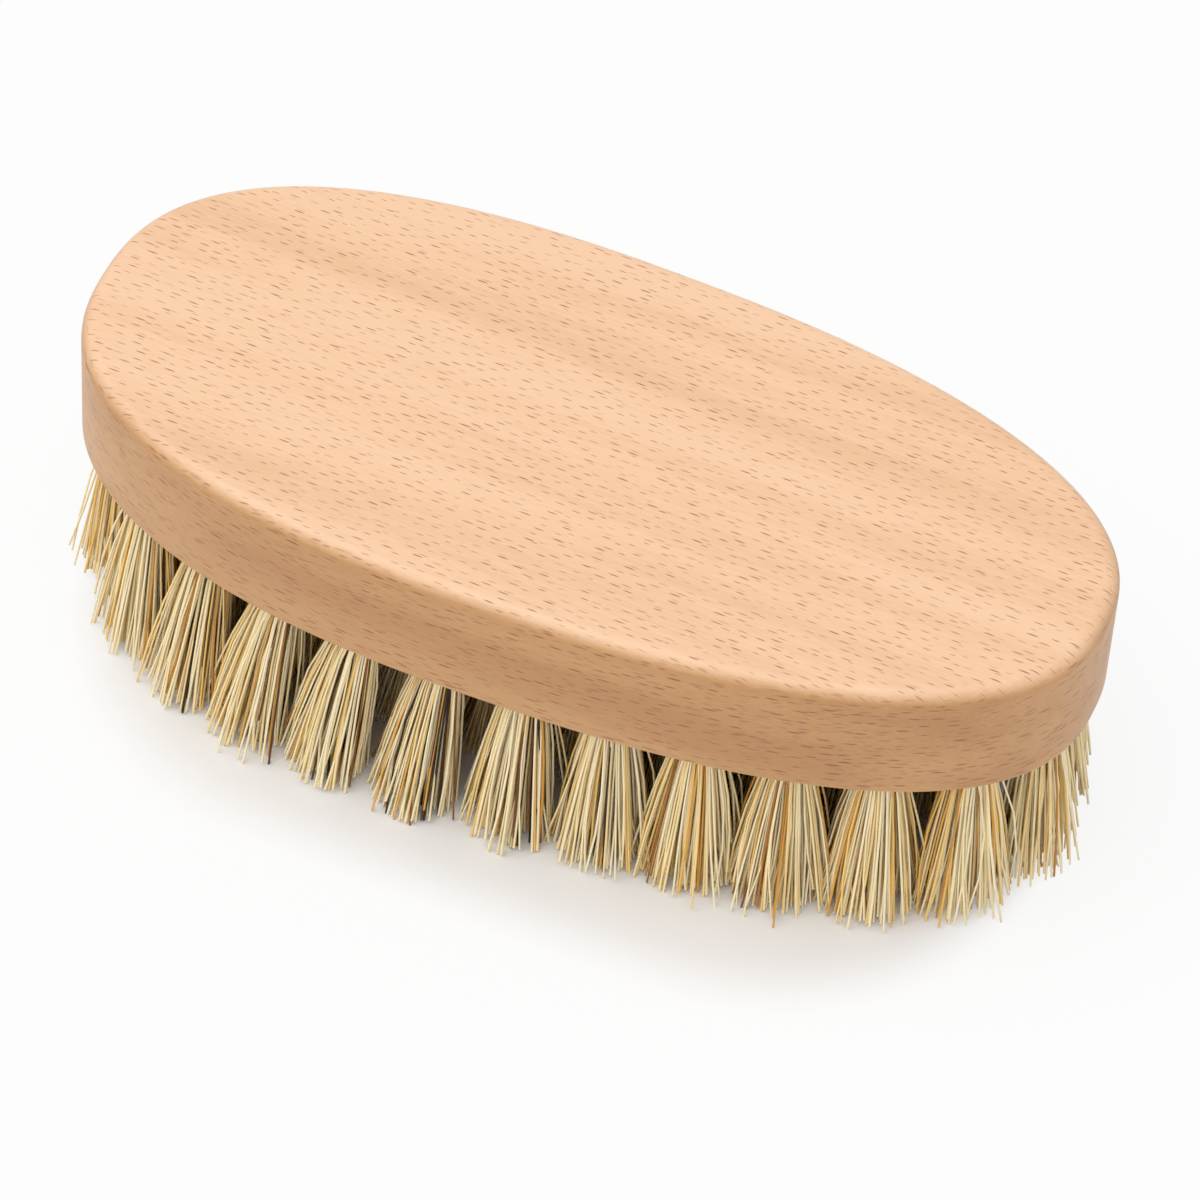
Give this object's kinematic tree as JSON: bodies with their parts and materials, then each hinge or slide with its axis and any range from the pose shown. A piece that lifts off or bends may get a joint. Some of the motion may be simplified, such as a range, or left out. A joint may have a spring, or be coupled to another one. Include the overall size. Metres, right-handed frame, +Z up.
{
  "type": "vegetable brush",
  "caption": "Oval vegetable brush: a palm-sized solid beech block with a softly rounded top edge and rings of stiff plant-fibre tufts set in drilled holes.",
  "frame": {"origin": "on the plane that the fibre tips stand on, below the middle of the block's length and width", "axes": "+X along the block to its slightly narrower end, +Y across it, +Z up from the fibres to the flat top of the block"},
  "size_m": [0.135, 0.0628, 0.0445],
  "materials": {
    "beech": "bare fine-sanded beech, matte",
    "fibre": "stiff cream plant fibre with a few brown strands",
    "steel": "bare flat wire"
  },
  "bodies": {
    "root": {"block": "beech", "anchors": "steel", "tuft_inner_01": "fibre", "tuft_inner_02": "fibre", "tuft_inner_03": "fibre", "tuft_inner_04": "fibre", "tuft_inner_05": "fibre", "tuft_inner_06": "fibre", "tuft_inner_07": "fibre", "tuft_inner_08": "fibre", "tuft_inner_09": "fibre", "tuft_inner_10": "fibre", "tuft_inner_11": "fibre", "tuft_inner_12": "fibre", "tuft_inner_13": "fibre", "tuft_inner_14": "fibre", "tuft_inner_15": "fibre", "tuft_inner_16": "fibre", "tuft_inner_17": "fibre", "tuft_inner_18": "fibre", "tuft_inner_19": "fibre", "tuft_middle_01": "fibre", "tuft_middle_02": "fibre", "tuft_middle_03": "fibre", "tuft_middle_04": "fibre", "tuft_middle_05": "fibre", "tuft_middle_06": "fibre", "tuft_middle_07": "fibre", "tuft_middle_08": "fibre", "tuft_outer_01": "fibre", "tuft_outer_02": "fibre", "tuft_outer_03": "fibre", "tuft_outer_04": "fibre", "tuft_outer_05": "fibre", "tuft_outer_06": "fibre", "tuft_outer_07": "fibre", "tuft_outer_08": "fibre", "tuft_outer_09": "fibre", "tuft_outer_10": "fibre", "tuft_outer_11": "fibre", "tuft_outer_12": "fibre", "tuft_outer_13": "fibre", "tuft_outer_14": "fibre", "tuft_outer_15": "fibre", "tuft_outer_16": "fibre", "tuft_outer_17": "fibre", "tuft_outer_18": "fibre", "tuft_outer_19": "fibre", "tuft_outer_20": "fibre", "tuft_outer_21": "fibre", "tuft_outer_22": "fibre", "tuft_outer_23": "fibre", "tuft_outer_24": "fibre", "tuft_outer_25": "fibre", "tuft_outer_26": "fibre"}
  },
  "joints": []
}
